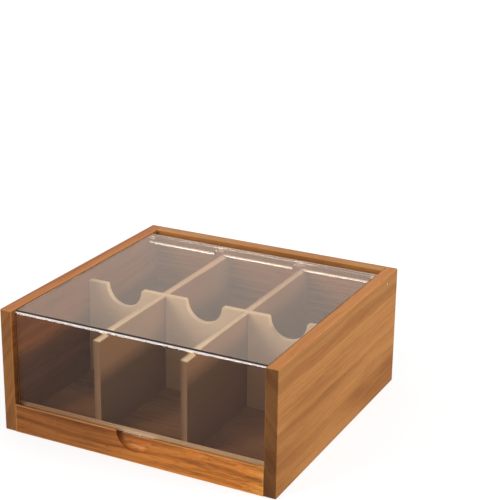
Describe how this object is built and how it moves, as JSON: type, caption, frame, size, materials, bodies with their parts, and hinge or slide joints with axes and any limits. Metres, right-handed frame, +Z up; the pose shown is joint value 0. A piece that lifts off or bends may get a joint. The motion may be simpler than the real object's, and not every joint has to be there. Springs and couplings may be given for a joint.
{
  "type": "tea bag box",
  "caption": "Low square wooden tabletop box with divided compartments and a smoke-tinted see-through lid that closes its top and front and flips up on hidden pins.",
  "frame": {"origin": "centre of the footprint, on the surface that the box stands on", "axes": "+X along the front from left to right as seen from the front, +Y from front to back, +Z up"},
  "size_m": [0.232, 0.226, 0.1],
  "materials": {
    "acacia": "oiled acacia, satin, with fine dark and light streaks along the grain",
    "pale_wood": "pale plain hardwood ply, unvarnished matt",
    "base_board": "brown stained ply, matt",
    "dowel_wood": "beech dowel, matt",
    "smoke_acrylic": "see-through brown smoke acrylic sheet, polished",
    "pin_steel": "bright steel pin"
  },
  "bodies": {
    "box": {"side_board_left": "acacia", "side_board_right": "acacia", "rear_board": "acacia", "front_rail": "acacia", "rail_slip": "pale_wood", "bottom_board": "base_board", "long_divider_left": "pale_wood", "long_divider_right": "pale_wood", "cross_divider": "pale_wood", "hinge_pin_left": "pin_steel", "hinge_pin_right": "pin_steel", "rear_dowels_left": "dowel_wood", "rear_dowels_right": "dowel_wood", "rail_dowel_left": "dowel_wood", "rail_dowel_right": "dowel_wood"},
    "lid": {"lid_cover": "smoke_acrylic", "lid_rear_bar": "smoke_acrylic"}
  },
  "joints": [
    {"name": "lid_hinge", "type": "hinge", "parent": "box", "child": "lid", "pos_m": [0, 0.0915, 0.0936], "axis": [-1, 0, 0], "range_deg": [0, 125]}
  ]
}
